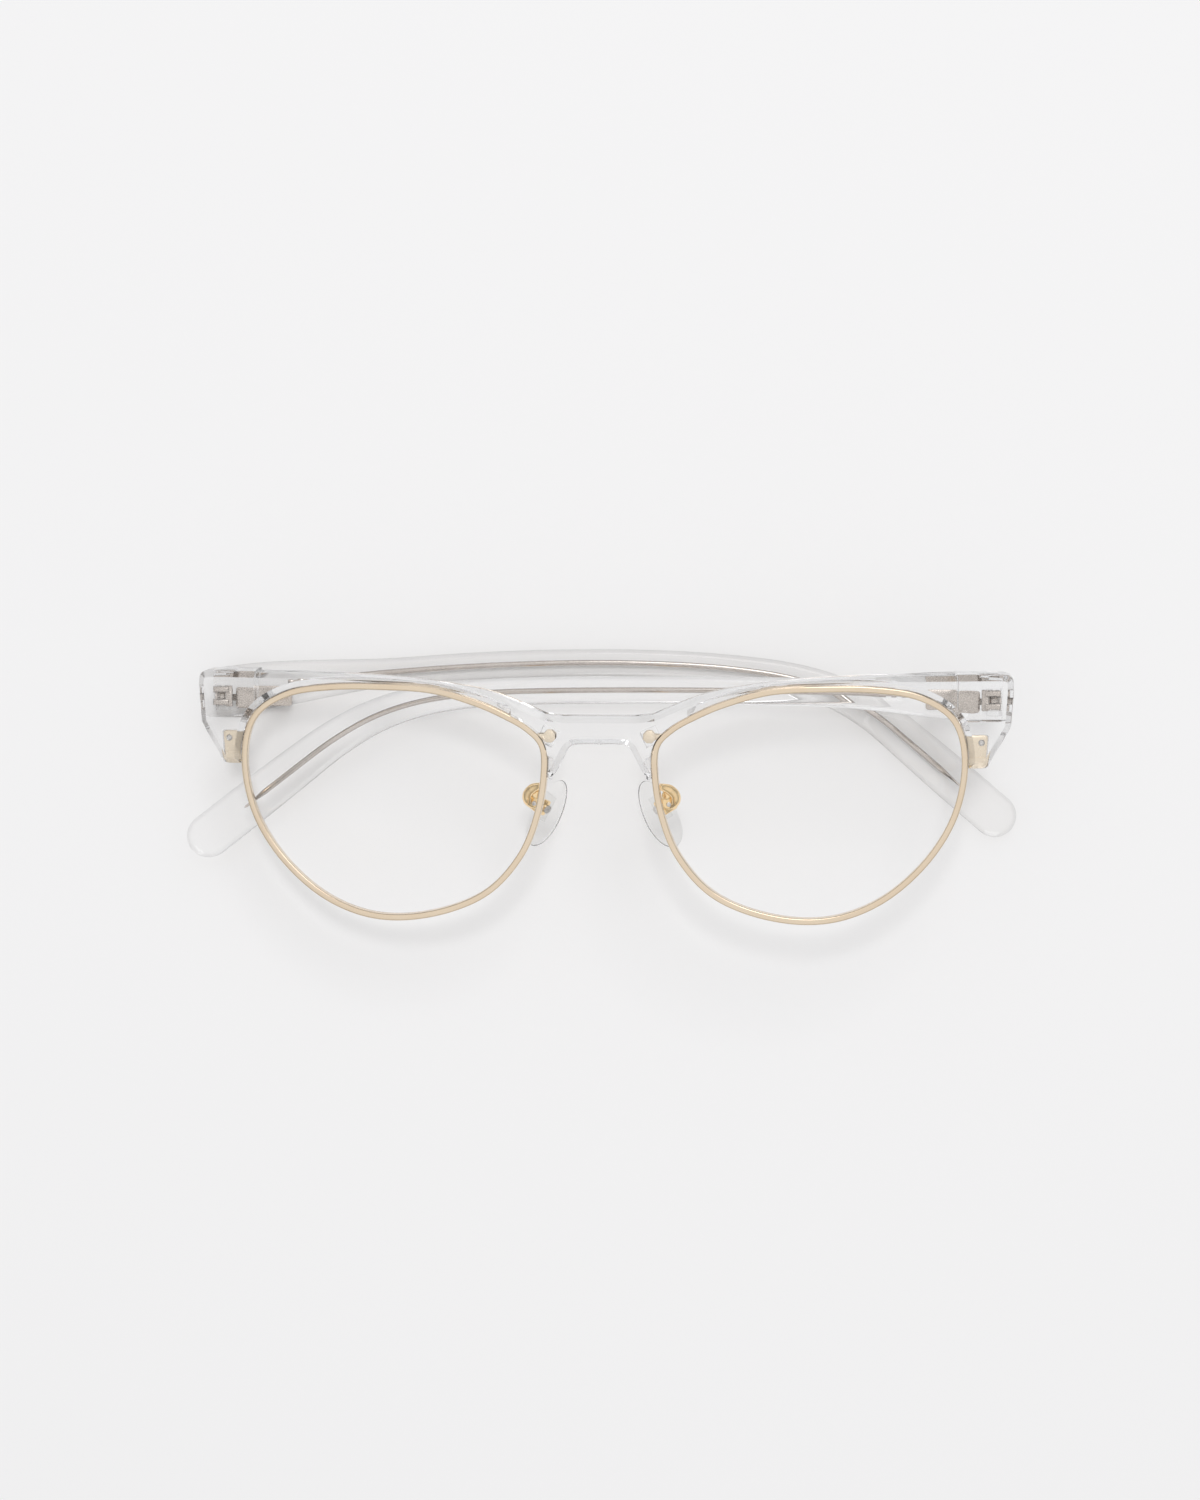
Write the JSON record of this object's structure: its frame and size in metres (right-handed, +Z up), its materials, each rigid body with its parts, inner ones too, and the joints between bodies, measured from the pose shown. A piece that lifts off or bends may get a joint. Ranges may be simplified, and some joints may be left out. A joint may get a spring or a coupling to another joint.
{
  "type": "reading glasses",
  "caption": "Folded browline reading glasses with a clear acetate front and temples, wire-rimmed lenses, rocking nose pads and screwed barrel hinges.",
  "frame": {"origin": "The centre of the patch on the outer face of the left temple that rests on the table, midway between the two hinges and at the height of the temple's middle line", "axes": "+X runs along the folded temples, from the wearer-left end piece (the left one seen from the front) to the right one; +Y runs up the face, from the lens bottoms to the brow; +Z points up from the table, out of the front's face"},
  "size_m": [0.146, 0.0476, 0.0269],
  "materials": {
    "clear_acetate": "polished clear acetate",
    "lens": "clear polished lens",
    "gold_rim": "pale champagne gold plating, satin",
    "gold_arm": "bright gold plating, polished",
    "silver_screw": "polished steel",
    "hinge_silver": "plated, satin",
    "core_silver": "bright drawn wire",
    "pad_plastic": "clear soft plastic"
  },
  "bodies": {
    "front": {"front_acetate": "clear_acetate", "rim_left": "gold_rim", "rim_right": "gold_rim", "lens_left": "lens", "lens_right": "lens", "rim_lug_left": "gold_rim", "rim_lug_right": "gold_rim", "lug_pin_left": "silver_screw", "lug_pin_right": "silver_screw", "rim_screw_left": "gold_arm", "rim_screw_right": "gold_arm", "bridge_peg_left": "gold_rim", "bridge_peg_right": "gold_rim", "pad_arm_left": "gold_arm", "pad_arm_right": "gold_arm", "pad_screw_left": "gold_arm", "pad_screw_right": "gold_arm", "front_hinge_leaf_left": "hinge_silver", "front_hinge_leaf_right": "hinge_silver", "hinge_screw_left": "silver_screw", "hinge_screw_right": "silver_screw"},
    "temple_left": {"temple_hinge_leaf_left": "hinge_silver", "temple_core_left": "core_silver", "temple_left": "clear_acetate"},
    "temple_right": {"temple_hinge_leaf_right": "hinge_silver", "temple_core_right": "core_silver", "temple_right": "clear_acetate"},
    "pad_left": {"nose_pad_left": "pad_plastic", "pad_mount_left": "gold_arm"},
    "pad_right": {"nose_pad_right": "pad_plastic", "pad_mount_right": "gold_arm"}
  },
  "joints": [
    {"name": "left_temple_hinge", "type": "hinge", "parent": "front", "child": "temple_left", "pos_m": [-0.06509, -0.00622, 0.0041], "axis": [0, 1, 0], "range_deg": [0, 90]},
    {"name": "right_temple_hinge", "type": "hinge", "parent": "front", "child": "temple_right", "pos_m": [0.06768, -0.00622, 0.01478], "axis": [0, -1, 0], "range_deg": [0, 90]},
    {"name": "left_pad_rock", "type": "hinge", "parent": "front", "child": "pad_left", "pos_m": [-0.00974, -0.02504, 0.0146], "axis": [-0.5687, 0.4041, -0.7165], "range_deg": [-8, 8]},
    {"name": "right_pad_rock", "type": "hinge", "parent": "front", "child": "pad_right", "pos_m": [0.01136, -0.02504, 0.0163], "axis": [0.6759, 0.4041, -0.6163], "range_deg": [-8, 8]}
  ],
  "couplings": [
    {"joint": "right_temple_hinge", "follows": "left_temple_hinge", "ratio": 1}
  ]
}
